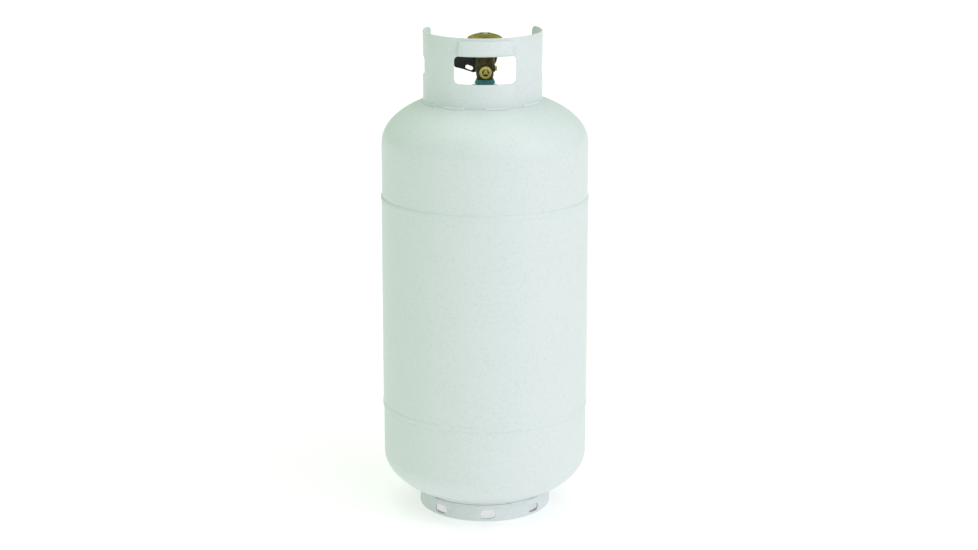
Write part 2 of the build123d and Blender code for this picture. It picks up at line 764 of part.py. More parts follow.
def coil_spring(plane, coil_radius, length, name):
    """A compression spring between two planes: a helix of wire, its ends drawn in by the wire's radius."""
    rise = length - 2 * spring_wire
    wire = Helix(pitch=rise / spring_turns, height=rise, radius=coil_radius)
    with BuildPart() as coil:
        with BuildSketch(Plane(origin=wire @ 0, z_dir=wire % 0)):
            Circle(spring_wire)
        sweep(path=wire)
    finish(plane.offset(spring_wire).location * coil.part, name)


# ---------------------------------------------------------------- relief valve
relief_disc_y = relief_seat_y + relief_lip_height
relief_poppet_y = relief_disc_y + relief_disc_height
relief_spring_y = relief_poppet_y + relief_poppet_height
retainer_y = relief_reach - relief_retainer_height

with BuildPart() as relief_disc:
    rod(front_plane(relief_disc_y, relief_z), relief_disc_radius, relief_disc_height)
finish(relief_disc.part, "relief_disc")

with BuildPart() as relief_poppet:
    rod(front_plane(relief_poppet_y, relief_z), relief_poppet_radius, relief_poppet_height)
    pin_length = relief_reach - relief_lift - relief_poppet_y
    rod(front_plane(relief_poppet_y, relief_z), relief_pin_radius, pin_length)
finish(relief_poppet.part, "relief_poppet")

with BuildPart() as relief_retainer:
    with BuildSketch(front_plane(retainer_y, relief_z)):
        Circle(relief_bore_radius)
        Circle(relief_opening_radius, mode=Mode.SUBTRACT)
        with PolarLocations(0, 3, start_angle=90):
            Rectangle(
                relief_opening_radius + 0.5, relief_spoke_width, align=(Align.MIN, Align.CENTER)
            )
        Circle(relief_hub_radius)
        Circle(relief_pin_radius + running_gap, mode=Mode.SUBTRACT)
    extrude(amount=relief_retainer_height)
finish(relief_retainer.part, "relief_retainer")

coil_spring(front_plane(relief_spring_y, relief_z), 4.0, retainer_y - relief_spring_y, "relief_spring")

# ---------------------------------------------------------------- bleeder and dip tube
with BuildPart() as bleed_seal:
    rod(right_plane(bleed_seat_x, bleed_z), bleed_disc_radius, bleed_disc_height)
finish(bleed_seal.part, "bleed_seal")

with BuildPart() as bleed_screw:
    screw_x = bleed_seat_x + bleed_disc_height
    knob_x = bleed_boss_end + bleed_head_gap
    rod(right_plane(screw_x, bleed_z), bleed_bore_radius - running_gap, knob_x - screw_x)
    rod(right_plane(knob_x, bleed_z), bleed_head_radius, bleed_head_height)
    chamfer(edges().group_by(Axis.X)[-1], 0.5)
    with Locations((knob_x + bleed_head_height, 0, bleed_z)):
        Box(2.4, 2 * bleed_head_radius, bleed_slot_width, mode=Mode.SUBTRACT)
finish(bleed_screw.part, "bleed_screw")

with BuildPart() as dip_tube:
    with Locations((dip_offset, 0)):
        rod(Plane.XY.offset(dip_bottom_z), dip_radius, shank_bottom_z + dip_socket_depth - dip_bottom_z)
        rod(
            Plane.XY.offset(dip_bottom_z),
            dip_radius - dip_wall,
            shank_bottom_z + dip_socket_depth - dip_bottom_z,
            mode=Mode.SUBTRACT,
        )
finish(dip_tube.part, "dip_tube")

# ---------------------------------------------------------------- outlet check
with BuildPart() as check_seat_ring:
    rod(rear_plane(check_seat_y, outlet_z), check_bore_radius, check_seat_height)
    rod(rear_plane(check_seat_y, outlet_z), check_seat_radius, check_seat_height, mode=Mode.SUBTRACT)
finish(check_seat_ring.part, "check_seat_ring")

check_poppet_y = check_seat_y - check_poppet_height
with BuildPart() as check_poppet:
    rod(rear_plane(check_poppet_y, outlet_z), check_poppet_radius, check_poppet_height)
    rod(rear_plane(check_seat_y, outlet_z), check_nose_radius, check_nose_length)
    fillet(edges().group_by(Axis.Y)[-1], 1.0)
finish(check_poppet.part, "check_poppet")

coil_spring(rear_plane(check_bore_start, outlet_z), 5.4, check_poppet_y - check_bore_start, "check_spring")

with BuildPart() as outlet_seal:
    rod(rear_plane(outlet_bore_start, outlet_z), outlet_bore_radius, outlet_seal_width)
    rod(rear_plane(outlet_bore_start, outlet_z), outlet_seal_radius, outlet_seal_width, mode=Mode.SUBTRACT)
finish(outlet_seal.part, "outlet_seal")

# ---------------------------------------------------------------- dust cap and leash
with BuildPart() as dust_cap:
    rod(rear_plane(cap_start_y, outlet_z), cap_radius, cap_end_y - cap_start_y)
    fillet(edges().group_by(Axis.Y)[-1], 1.6)
    with BuildSketch(rear_plane(cap_start_y + 3.0, outlet_z)):
        with PolarLocations(cap_radius, cap_ribs):
            Circle(rib_radius)
    extrude(amount=cap_end_y - cap_start_y - 6.0)
    # lug the leash is moulded to
    with Locations((-cap_radius, lug_y, outlet_z)):
        Cylinder(lug_radius, strand_width)
    rod(
        rear_plane(cap_start_y, outlet_z),
        cap_bore_radius,
        cap_end_y - cap_face_wall - cap_start_y,
        mode=Mode.SUBTRACT,
    )
finish(dust_cap.part, "dust_cap")

with BuildPart() as leash_ring:
    with BuildSketch(Plane.XZ.offset(-leash_ring_start_y)):
        with Locations((0, outlet_z)):
            Circle(leash_ring_radius)
        with BuildLine():
            Polyline(
                (0, tab_top_z),
                (tab_end_x, tab_top_z),
                (tab_end_x, tab_bottom_z),
                ((tab_end_x + tab_root_x) / 2, (tab_bottom_z + tab_root_z) / 2 + 0.6),
                (tab_root_x, tab_root_z),
                (0, tab_root_z + 4.0),
                close=True,
            )
        make_face()
        fillet(vertices().group_by(Axis.X)[0], tab_corner)
        # see-through gap between the band and the thinner strand under it
        with Locations((tab_hole_x, tab_hole_z)):
            SlotOverall(tab_hole_length, tab_hole_height, rotation=tab_hole_tilt, mode=Mode.SUBTRACT)
        with Locations((0, outlet_z)):
            Circle(outlet_neck_radius, mode=Mode.SUBTRACT)
    extrude(amount=-leash_ring_width)
finish(leash_ring.part, "leash_ring")

# the strand leaves the back of the tab, bends round and runs to the cap's lug
strand_start_y = leash_ring_start_y + leash_ring_width
bend_radius = (lug_y + strand_thickness / 2 - strand_start_y) / 2
bend_centre = (strand_bend_x, strand_start_y + bend_radius)

with BuildPart() as leash_strand:
    with BuildSketch(Plane.XY.offset(outlet_z - strand_width / 2)):
        with BuildLine():
            inner_bend = bend_radius - strand_thickness
            outer = CenterArc(bend_centre, bend_radius, 90, 180)
            inner = CenterArc(bend_centre, inner_bend, 90, 180)
            Polyline(outer @ 1, (strand_root_x, (outer @ 1).Y), (strand_root_x, (inner @ 1).Y), inner @ 1)
            Polyline(outer @ 0, (-cap_radius, (outer @ 0).Y), (-cap_radius, (inner @ 0).Y), inner @ 0)
        make_face()
    extrude(amount=strand_width)
    add(dust_cap.part, mode=Mode.SUBTRACT)
finish(leash_strand.part, "leash_strand")

# ================================================================ overfill stop, hung from the shank
stop_top_z = shank_bottom_z + stop_nipple_height
port_height = 3.0
piston_top_z = stop_shoulder_z - piston_lift - 0.1
cam_rise = cam_offset * sin(radians(cam_swing / 2))
piston_bottom_z = pivot_z - cam_rise + cam_radius + cam_gap

with BuildPart() as stop_housing:
    with Locations((stop_offset, 0)):
        rod(Plane.XY.offset(stop_bottom_z), stop_radius, shank_bottom_z - stop_bottom_z)
        rod(Plane.XY.offset(shank_bottom_z), stop_nipple_radius, stop_nipple_height)
        stop_bottom = Plane.XY.offset(stop_bottom_z)
        rod(stop_bottom, stop_bore_radius, stop_shoulder_z - stop_bottom_z, mode=Mode.SUBTRACT)
        rod(stop_bottom, stop_port_radius, stop_top_z - stop_bottom_z, mode=Mode.SUBTRACT)
        port_top_z = stop_shoulder_z + port_height
        rod(Plane.XY.offset(port_top_z), stop_bore_radius, stop_top_z - port_top_z, mode=Mode.SUBTRACT)
        with Locations((0, 0, stop_bottom_z)):
            Box(
                2 * stop_radius,
                cam_thickness + 2 * cam_slot_gap,
                pivot_z + cam_slot_top - stop_bottom_z,
                align=(Align.CENTER, Align.CENTER, Align.MIN),
                mode=Mode.SUBTRACT,
            )
        rod(rear_plane(-stop_radius, pivot_z), pin_radius, 2 * stop_radius, mode=Mode.SUBTRACT)
        rod(
            rear_plane(-stop_radius, stop_shoulder_z - stop_outlet_radius - 0.2),
            stop_outlet_radius,
            2 * stop_radius,
            mode=Mode.SUBTRACT,
        )
finish(stop_housing.part, "stop_housing")

with BuildPart() as stop_piston:
    with Locations((stop_offset, 0)):
        rod(Plane.XY.offset(piston_bottom_z), stop_bore_radius - running_gap, piston_top_z - piston_bottom_z)
finish(stop_piston.part, "stop_piston")

pivot = Plane(origin=(stop_offset, 0, pivot_z), x_dir=(1, 0, 0), z_dir=(0, 1, 0))
arm_way = (-sin(radians(arm_rest_angle)), 0, -cos(radians(arm_rest_angle)))


def arm_plane(distance):
    """A plane square to the float arm, at a distance from its pivot."""
    x, y, z = (stop_offset + distance * arm_way[0], 0, pivot_z + distance * arm_way[2])
    return Plane(origin=(x, y, z), x_dir=(0, 1, 0), z_dir=arm_way)


with BuildPart() as float_arm:
    # the cam's centre starts below the pivot's level and rises as the arm swings up
    with BuildSketch(pivot.offset(-cam_thickness / 2)):
        with Locations((-cam_offset * cos(radians(cam_swing / 2)), cam_rise)):
            Circle(cam_radius)
    extrude(amount=cam_thickness)
    rod(arm_plane(pin_radius + 1.5), arm_rod_radius, arm_length - pin_radius - 1.5)
    rod(pivot.offset(-cam_thickness / 2), pin_radius + running_gap, cam_thickness, mode=Mode.SUBTRACT)
finish(float_arm.part, "float_arm")

with BuildPart() as stop_float:
    rod(arm_plane(float_start), float_radius, float_length)
    fillet(edges().filter_by(GeomType.CIRCLE), 4.0)
    rod(arm_plane(float_start), arm_rod_radius, float_length, mode=Mode.SUBTRACT)
finish(stop_float.part, "stop_float")

with BuildPart() as float_pin:
    rod(pivot.offset(-stop_radius), pin_radius, 2 * stop_radius + clip_height)
    rod(pivot.offset(-stop_radius - clip_height), clip_radius - 0.6, clip_height)
finish(float_pin.part, "float_pin")

with BuildPart() as pin_clip:
    rod(pivot.offset(stop_radius), clip_radius, clip_height)
    rod(pivot.offset(stop_radius), pin_radius, clip_height, mode=Mode.SUBTRACT)
finish(pin_clip.part, "pin_clip")
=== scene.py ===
"""Portable upright propane cylinder: painted vessel, forged valve, leashed dust cap and a plain studio."""

from math import atan2, ceil, cos, hypot, pi, radians, sin, sqrt

import bmesh
import bpy
from mathutils import Matrix, Vector


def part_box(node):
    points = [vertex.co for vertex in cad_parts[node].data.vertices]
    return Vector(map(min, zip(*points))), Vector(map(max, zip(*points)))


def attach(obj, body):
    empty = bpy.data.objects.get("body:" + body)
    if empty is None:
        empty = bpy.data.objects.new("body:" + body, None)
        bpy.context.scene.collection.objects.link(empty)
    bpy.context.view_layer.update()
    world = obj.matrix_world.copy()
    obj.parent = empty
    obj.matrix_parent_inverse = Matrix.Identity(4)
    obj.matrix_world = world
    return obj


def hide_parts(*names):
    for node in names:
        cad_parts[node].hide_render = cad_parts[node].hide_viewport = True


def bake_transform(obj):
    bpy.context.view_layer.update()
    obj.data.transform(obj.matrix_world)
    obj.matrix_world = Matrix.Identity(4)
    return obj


bl_info = {
    "name": "Propane Cylinder",
    "version": (1, 0, 0),
    "blender": (4, 5, 0),
    "location": "View3D > Sidebar > Cylinder",
    "description": "Finishes a portable propane cylinder with welds, valve trim, paint and a studio",
    "category": "Object",
}

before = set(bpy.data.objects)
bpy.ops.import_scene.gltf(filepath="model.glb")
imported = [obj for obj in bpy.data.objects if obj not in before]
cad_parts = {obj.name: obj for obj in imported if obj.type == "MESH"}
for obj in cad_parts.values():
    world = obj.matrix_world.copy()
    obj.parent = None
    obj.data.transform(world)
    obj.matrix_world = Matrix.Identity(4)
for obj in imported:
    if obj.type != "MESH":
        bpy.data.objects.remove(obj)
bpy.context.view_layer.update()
MM = 0.001


# ---------------------------------------------------------------- shader graphs
class Wire:
    """A node's output that can be used in Python expressions."""

    def __init__(self, graph, socket):
        self.graph = graph
        self.socket = socket

    def math(self, operation, *operands):
        inputs = dict(enumerate(operands))
        return self.graph.make("ShaderNodeMath", {"operation": operation}, inputs)

    def __add__(self, other):
        return self.math("ADD", self, other)

    def __radd__(self, other):
        return self.math("ADD", other, self)

    def __sub__(self, other):
        return self.math("SUBTRACT", self, other)

    def __rsub__(self, other):
        return self.math("SUBTRACT", other, self)

    def __mul__(self, other):
        return self.math("MULTIPLY", self, other)

    def __rmul__(self, other):
        return self.math("MULTIPLY", other, self)

    def sine(self):
        return self.math("SINE", self)

    def cosine(self):
        return self.math("COSINE", self)

    def root(self):
        return self.math("SQRT", self)

    def step(self, low, high):
        """0 below low, 1 above high, and a smooth rise between them."""
        settings = {"interpolation_type": "SMOOTHSTEP"}
        inputs = {"Value": self, "From Min": low, "From Max": high}
        return self.graph.make("ShaderNodeMapRange", settings, inputs, "Result")


class Graph:
    """A material's node tree, with a Principled shader at its end."""

    def __init__(self, name):
        self.material = bpy.data.materials.new(name)
        self.material.use_nodes = True
        self.tree = self.material.node_tree
        self.tree.nodes.clear()
        self.shader = self.tree.nodes.new("ShaderNodeBsdfPrincipled")
        output = self.tree.nodes.new("ShaderNodeOutputMaterial")
        self.tree.links.new(self.shader.outputs["BSDF"], output.inputs["Surface"])

    def plug(self, node, inputs):
        for key, value in inputs.items():
            if isinstance(value, Wire):
                self.tree.links.new(value.socket, node.inputs[key])
            else:
                node.inputs[key].default_value = value

    def make(self, kind, settings=None, inputs=None, output=0):
        """Adds a node: its settings first, then its sockets' values or links. Gives back one output."""
        node = self.tree.nodes.new(kind)
        for key, value in (settings or {}).items():
            setattr(node, key, value)
        self.plug(node, inputs or {})
        return Wire(self, node.outputs[output])

    def place(self):
        return self.make("ShaderNodeTexCoord", output="Object")

    def noise(self, scale, detail=2.0, roughness=0.5, at=None):
        inputs = {"Vector": at or self.place(), "Scale": scale, "Detail": detail, "Roughness": roughness}
        return self.make("ShaderNodeTexNoise", {}, inputs)

    def mix(self, factor, first, second):
        inputs = {"Factor": factor, 6: first, 7: second}
        return self.make("ShaderNodeMix", {"data_type": "RGBA"}, inputs, 2)

    def split(self, at=None):
        node = self.tree.nodes.new("ShaderNodeSeparateXYZ")
        self.plug(node, {"Vector": at or self.place()})
        return [Wire(self, socket) for socket in node.outputs]

    def bump(self, height, strength, distance):
        inputs = {"Height": height, "Strength": strength, "Distance": distance}
        return self.make("ShaderNodeBump", {}, inputs)

    def finish(self, **inputs):
        named = {key.replace("_", " "): value for key, value in inputs.items()}
        self.plug(self.shader, named)
        return self.material


def colour(values):
    return (*values[:3], 1.0)


def shade(values, factor):
    return (*(min(1.0, part * factor) for part in values[:3]), 1.0)


# ---------------------------------------------------------------- finishes
def enamel(name, base, peel):
    """White enamel sprayed on steel: orange peel, a stipple of dry spray and faint flow marks."""
    g = Graph(name)
    grain = g.noise(170.0, 3.0, 0.55)
    stipple = g.noise(250.0, 3.0, 0.62)
    fine = g.noise(1100.0, 1.0)
    flow = g.noise(14.0, 2.0)
    height = grain * 0.7 + stipple * 0.35 + fine * 0.1 + flow * 0.5
    tone = g.mix(stipple.step(0.46, 0.68) * 0.6, shade(base, 1.02), shade(base, 0.92))
    tone = g.mix(flow.step(0.35, 0.7) * 0.3, tone, shade(base, 1.04))
    normal = g.bump(height, peel, 0.6 * MM)
    gloss = 0.36 + grain * 0.12 + flow * 0.08
    return g.finish(Base_Color=tone, Roughness=gloss, Normal=normal, Coat_Weight=0.12)


def forged_brass(name, base, machined, faces):
    """Brass as it leaves the forge: grainy and brown, and bright where a tool has faced it."""
    g = Graph(name)
    parts = g.split()
    grain = g.noise(700.0, 4.0, 0.6)
    patches = g.noise(95.0, 3.0, 0.55)
    tarnish = patches.step(0.42, 0.68)
    tone = g.mix(tarnish * 0.7, colour(base), shade((base[0], base[1] * 0.85, base[2] * 0.8), 0.45))
    tone = g.mix(grain.step(0.52, 0.7) * 0.45, tone, shade(base, 1.7))
    cut = 0.0
    rings = 0.0
    for axis, side, start, centre in faces:
        across = [i for i in range(3) if i != axis]
        first, second = (parts[i] - centre[i] for i in across)
        depth = parts[axis] * side
        face = depth.step(start - 0.25 * MM, start - 0.1 * MM)
        turned = (((first * first + second * second).root() + parts[axis]) * (2 * pi / (0.45 * MM))).sine()
        cut = face + cut
        rings = face * turned + rings
    tone = g.mix(cut, tone, g.mix(patches.step(0.5, 0.75) * 0.5, colour(machined), shade(machined, 0.75)))
    cast = grain * 0.8 + patches * 0.6
    normal = g.bump(cast * (1.0 - cut) + rings * 0.08, 0.55, 0.35 * MM)
    gloss = (0.4 + tarnish * 0.15 + grain * 0.12) * (1.0 - cut) + cut * (0.24 + patches * 0.12)
    return g.finish(Base_Color=tone, Metallic=1.0, Roughness=gloss, Normal=normal)


def turned_metal(name, base, axis, centre, pitch, tint=0.85):
    """Metal off a lathe: fine rings round an axis, with a slight bloom."""
    g = Graph(name)
    parts = g.split()
    across = [i for i in range(3) if i != axis]
    first, second = (parts[i] - centre[i] for i in across)
    radius = (first * first + second * second).root()
    ring = ((radius + parts[axis]) * (2 * pi / pitch)).sine()
    bloom = g.noise(160.0, 3.0, 0.6)
    tone = g.mix(bloom.step(0.45, 0.75), colour(base), shade(base, tint))
    normal = g.bump(ring * 0.5 + bloom * 0.4, 0.2, 0.05 * MM)
    gloss = 0.22 + bloom * 0.16 + ring * 0.03
    return g.finish(Base_Color=tone, Metallic=1.0, Roughness=gloss, Normal=normal)


def plated(name, base, second, ridges, metallic=0.95):
    """Yellow passivated zinc: a gold film that drifts towards green, with painted shade between the grip
    ridges.
    """
    g = Graph(name)
    x, y, _ = g.split()
    out = (x * x + y * y).root()
    # Painted shade: from 12-17 mm out, the valleys between the grip ridges are darkened towards a dark copy
    # of the drift colour.
    crest = (y.math("ARCTAN2", y, x) * ridges).cosine()
    painted_groove_shade = (1.0 - crest.step(-0.4, 0.6)) * out.step(12.0 * MM, 17.0 * MM)
    drift = g.noise(60.0, 3.0, 0.6)
    grain = g.noise(650.0, 3.0, 0.6)
    tone = g.mix(drift.step(0.4, 0.66), colour(base), colour(second))
    tone = g.mix(grain.step(0.5, 0.68) * 0.4, tone, shade(base, 0.6))
    # mixes in the painted shade between the grip ridges
    tone = g.mix(painted_groove_shade * 0.75, tone, shade(second, 0.3))
    normal = g.bump(grain, 0.35, 0.15 * MM)
    gloss = 0.3 + drift * 0.12 + grain * 0.1
    return g.finish(Base_Color=tone, Metallic=metallic, Roughness=gloss, Normal=normal)


def moulded(name, base, grain_scale, gloss, depth):
    """Moulded plastic or rubber: a spark-eroded texture with scuffs that catch the light."""
    g = Graph(name)
    grain = g.noise(grain_scale, 3.0, 0.6)
    scuff = g.noise(180.0, 4.0, 0.7).step(0.56, 0.74)
    tone = g.mix(scuff * 0.35, colour(base), shade((base[0] + 0.03, base[1] + 0.03, base[2] + 0.03), 1.2))
    normal = g.bump(grain, 0.4, depth)
    rough = gloss + grain * 0.14 + scuff * 0.12
    return g.finish(Base_Color=tone, Roughness=rough, Normal=normal)


# ---------------------------------------------------------------- meshes
def new_piece(name, bm, material, body, stands_for=(), smooth=35.0):
    """Puts a finished bmesh in the scene, riding on a body. With no body, it is left unattached."""
    mesh = bpy.data.meshes.new(name)
    bm.to_mesh(mesh)
    bm.free()
    mesh.materials.append(material)
    mesh.shade_smooth()
    mesh.set_sharp_from_angle(angle=radians(smooth))
    piece = bpy.data.objects.new(name, mesh)
    bpy.context.scene.collection.objects.link(piece)
    if body:
        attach(piece, body)
    if stands_for:
        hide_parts(*stands_for)
    return piece


def worked_copy(node, width, segments=2, angle=35.0):
    """A CAD node's shape as a clean mesh with its sharp edges rounded."""
    bm = bmesh.new()
    bm.from_mesh(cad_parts[node].data)
    bmesh.ops.remove_doubles(bm, verts=bm.verts, dist=1e-6)
    bmesh.ops.dissolve_limit(bm, angle_limit=radians(0.3), verts=bm.verts, edges=bm.edges)
    sharp = [e for e in bm.edges if e.is_manifold and e.calc_face_angle(0.0) > radians(angle)]
    bmesh.ops.bevel(
        bm,
        geom=sharp,
        offset=width,
        offset_type="OFFSET",
        segments=segments,
        profile=0.5,
        affect="EDGES",
        clamp_overlap=True,
        material=-1,
    )
    return bm


def bead(radius, height, half_width, half_height, tilt, start, end, pitch, ripple, seed):
    """A weld bead swept round the cylinder's axis between two angles, with overlapping crescent ripples."""
    whole = end - start > 2 * pi - 1e-6
    bm = bmesh.new()
    ring = bmesh.ops.create_circle(bm, segments=14, radius=1.0)["verts"]
    bmesh.ops.scale(bm, verts=ring, vec=(half_height, half_width, 1.0))
    bmesh.ops.rotate(bm, verts=ring, cent=(0, 0, 0), matrix=Matrix.Rotation(pi / 2, 3, "X"))
    bmesh.ops.rotate(bm, verts=ring, cent=(0, 0, 0), matrix=Matrix.Rotation(tilt, 3, "Y"))
    bmesh.ops.translate(bm, verts=ring, vec=(radius, 0, height))
    bmesh.ops.rotate(bm, verts=ring, cent=(0, 0, 0), matrix=Matrix.Rotation(start, 3, "Z"))
    steps = ceil((end - start) * radius / pitch * 4)
    bmesh.ops.spin(
        bm,
        geom=bm.verts[:] + bm.edges[:],
        cent=(0, 0, 0),
        axis=(0, 0, 1),
        angle=end - start,
        steps=steps,
        use_merge=whole,
    )
    if not whole:
        bmesh.ops.holes_fill(bm, edges=[e for e in bm.edges if e.is_boundary], sides=20)
    for v in bm.verts:
        turn = (atan2(v.co.y, v.co.x) - start) % (2 * pi)
        if turn > end - start + 0.01:
            turn = 0.0
        along = turn * radius
        out = hypot(v.co.x, v.co.y)
        offset = Vector((out - radius, v.co.z - height))
        side = (-offset.x * sin(tilt) + offset.y * cos(tilt)) / half_width
        count = round((end - start) * radius / pitch)
        phase = turn / (end - start) * count + 0.55 * side * side
        crest = (phase % 1.0) ** 1.6
        wander = 1 + 0.05 * sin(along / (9.0 * MM) + seed) + 0.03 * sin(along / (4.1 * MM) + 2 * seed)
        grow = wander * (1 + ripple * (crest - 0.5))
        if not whole:
            reach = min(along, (end - start) * radius - along) / (1.3 * half_width)
            grow *= sqrt(max(0.04, 1 - (1 - min(reach, 1.0)) ** 2))
        offset *= grow
        way = Vector((v.co.x, v.co.y)).normalized()
        v.co = (way.x * (radius + offset.x), way.y * (radius + offset.x), height + offset.y)
    bmesh.ops.recalc_face_normals(bm, faces=bm.faces)
    return bm


def merged(parts):
    """Several bmeshes as one."""
    whole = bmesh.new()
    for part in parts:
        mesh = bpy.data.meshes.new("part")
        part.to_mesh(mesh)
        part.free()
        whole.from_mesh(mesh)
        bpy.data.meshes.remove(mesh)
    return whole


def front_angle(degrees):
    """The angle about +Z of a place measured from the front towards the right."""
    return radians(degrees - 90.0)


# ---------------------------------------------------------------- settings
def size(name, description, default, low=0.0, high=1.0):
    return bpy.props.FloatProperty(
        name=name, description=description, default=default, min=low, max=high, unit="LENGTH", precision=4
    )


def tint(name, description, default):
    return bpy.props.FloatVectorProperty(
        name=name, description=description, default=default, min=0.0, max=1.0, subtype="COLOR", size=3
    )


class CYLINDER_PG_sizes(bpy.types.PropertyGroup):
    ripple_pitch: size("Ripple pitch", "Distance between a weld bead's ripples", 2.4 * MM)
    girth_half_width: size("Girth bead half width", "Half the width of the beads round the vessel", 5.5 * MM)
    girth_half_height: size("Girth bead half height", "Half those beads' thickness, mostly sunk", 2.5 * MM)
    stitch_radius: size("Stitch radius", "Radius of the short welds on the collar and foot ring", 2.8 * MM)
    sheet_edge: size("Sheet edge", "Rounding on the cut edges of the collar and foot ring", 0.6 * MM)
    forging_edge: size("Forging edge", "Rounding on the valve body's edges", 0.6 * MM)
    wheel_ridge: size("Wheel ridge", "Height of the handwheel's grip ridges", 0.8 * MM)
    floor_width: size("Floor width", "Width of the studio floor", 60.0, 1.0, 200.0)


class CYLINDER_PG_colours(bpy.types.PropertyGroup):
    paint: tint("Paint", "The vessel's enamel", (0.655, 0.70, 0.71))
    valve: tint("Valve", "Forged brass", (0.115, 0.095, 0.048))
    fittings: tint("Fittings", "Turned brass", (0.74, 0.57, 0.19))
    wheel: tint("Wheel", "Yellow passivated zinc", (0.42, 0.31, 0.06))
    wheel_drift: tint("Wheel drift", "The film's second colour", (0.27, 0.24, 0.06))
    steel: tint("Steel", "Zinc-plated screws and springs", (0.58, 0.59, 0.60))
    seal_ring: tint("Seal ring", "The ring round the valve's neck", (0.03, 0.24, 0.27))
    plastic: tint("Black plastic", "Dust cap and leash", (0.012, 0.012, 0.013))
    rubber: tint("Rubber", "Seals", (0.015, 0.015, 0.015))
    floor: tint("Floor", "Studio floor", (0.60, 0.60, 0.60))
    floor_glow: tint("Floor glow", "Light the studio floor gives off", (1.0, 1.0, 1.0))


GRIP_RIDGES = 36

# The valve body's machined faces: axis, side, where each starts, and the middle of its boss.
MACHINED = (
    (1, -1, 21.0 * MM, (0, 0, 672.5 * MM)),
    (1, 1, 20.0 * MM, (0, 0, 690.0 * MM)),
    (0, 1, 15.2 * MM, (0, 0, 675.5 * MM)),
    (2, 1, 706.0 * MM, (0, 0, 0)),
)


def sizes():
    return bpy.context.scene.cylinder_sizes


def colours():
    return bpy.context.scene.cylinder_colours


finishes = {}


def finish_of(name):
    """The named finish, made the first time it is asked for."""
    if name in finishes:
        return finishes[name]
    c = colours()
    makers = {
        "enamel": lambda: enamel(name, c.paint, 0.5),
        "forged_brass": lambda: forged_brass(name, c.valve, c.fittings, MACHINED),
        "turned_brass": lambda: turned_metal(name, c.fittings, 2, (0, 0, 0), 0.5 * MM),
        "relief_brass": lambda: turned_metal(name, c.fittings, 1, (0, 0, 0.6725), 0.5 * MM),
        "outlet_brass": lambda: turned_metal(name, c.fittings, 1, (0, 0, 0.690), 0.5 * MM),
        "bleeder_brass": lambda: turned_metal(name, c.fittings, 0, (0, 0, 0.6755), 0.5 * MM),
        "zinc_steel": lambda: turned_metal(name, c.steel, 2, (0, 0, 0), 0.7 * MM),
        "yellow_zinc": lambda: plated(name, c.wheel, c.wheel_drift, GRIP_RIDGES),
        "teal_plastic": lambda: moulded(name, c.seal_ring, 900.0, 0.3, 0.06 * MM),
        "black_plastic": lambda: moulded(name, c.plastic, 1200.0, 0.38, 0.08 * MM),
        "rubber": lambda: moulded(name, c.rubber, 800.0, 0.55, 0.1 * MM),
    }
    finishes[name] = makers[name]()
    return finishes[name]


def dress(node, name):
    """Gives a CAD node its finish and smooth shading."""
    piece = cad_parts[node]
    piece.data.materials.clear()
    piece.data.materials.append(finish_of(name))
    for face in piece.data.polygons:
        face.material_index = 0
        face.use_smooth = True
    weld = piece.modifiers.new("Weld", "WELD")
    weld.merge_threshold = 0.002 * MM
    split = piece.modifiers.new("Split", "EDGE_SPLIT")
    split.split_angle = radians(28.0)


# ---------------------------------------------------------------- operators
class CylinderOperator:
    bl_options = {"REGISTER", "UNDO"}


class CYLINDER_OT_vessel(CylinderOperator, bpy.types.Operator):
    """Paint the drawn heads, the rolled shell and the spud"""

    bl_idname = "cylinder.vessel"
    bl_label = "Vessel"

    def execute(self, context):
        for node in ("top_head", "bottom_head", "shell", "spud"):
            dress(node, "enamel")
        return {"FINISHED"}


class CYLINDER_OT_sheet_rings(CylinderOperator, bpy.types.Operator):
    """Round the pressed edges of the collar and the foot ring, and paint them"""

    bl_idname = "cylinder.sheet_rings"
    bl_label = "Collar and foot ring"

    def execute(self, context):
        for node in ("collar", "foot_ring"):
            bm = worked_copy(node, sizes().sheet_edge)
            new_piece(f"{node}_sheet", bm, finish_of("enamel"), "vessel", [node])
        return {"FINISHED"}


class CYLINDER_OT_girth_welds(CylinderOperator, bpy.types.Operator):
    """Lay the two rippled beads round the vessel and the one round its spud, and paint the bead down its
    side
    """

    bl_idname = "cylinder.girth_welds"
    bl_label = "Vessel welds"

    def execute(self, context):
        s = sizes()
        for number, node in enumerate(("upper_girth_weld", "lower_girth_weld")):
            low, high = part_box(node)
            middle = (low[2] + high[2]) / 2
            radius = high[0] - s.girth_half_height
            lean = 0.05 if number == 0 else -0.05
            section = (s.girth_half_width, s.girth_half_height, lean)
            bm = bead(radius, middle, *section, 0, 2 * pi, s.ripple_pitch, 0.1, number)
            new_piece(node.replace("weld", "bead"), bm, finish_of("enamel"), "vessel", [node])
        dress("shell_seam_weld", "enamel")
        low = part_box("spud_weld")[0]
        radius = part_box("spud")[1][0] + 0.4 * MM
        bm = bead(radius, low[2] + 1.2 * MM, 3.6 * MM, 3.0 * MM, 0.6, 0, 2 * pi, s.ripple_pitch, 0.2, 5)
        new_piece("spud_bead", bm, finish_of("enamel"), "vessel", ["spud_weld"])
        return {"FINISHED"}


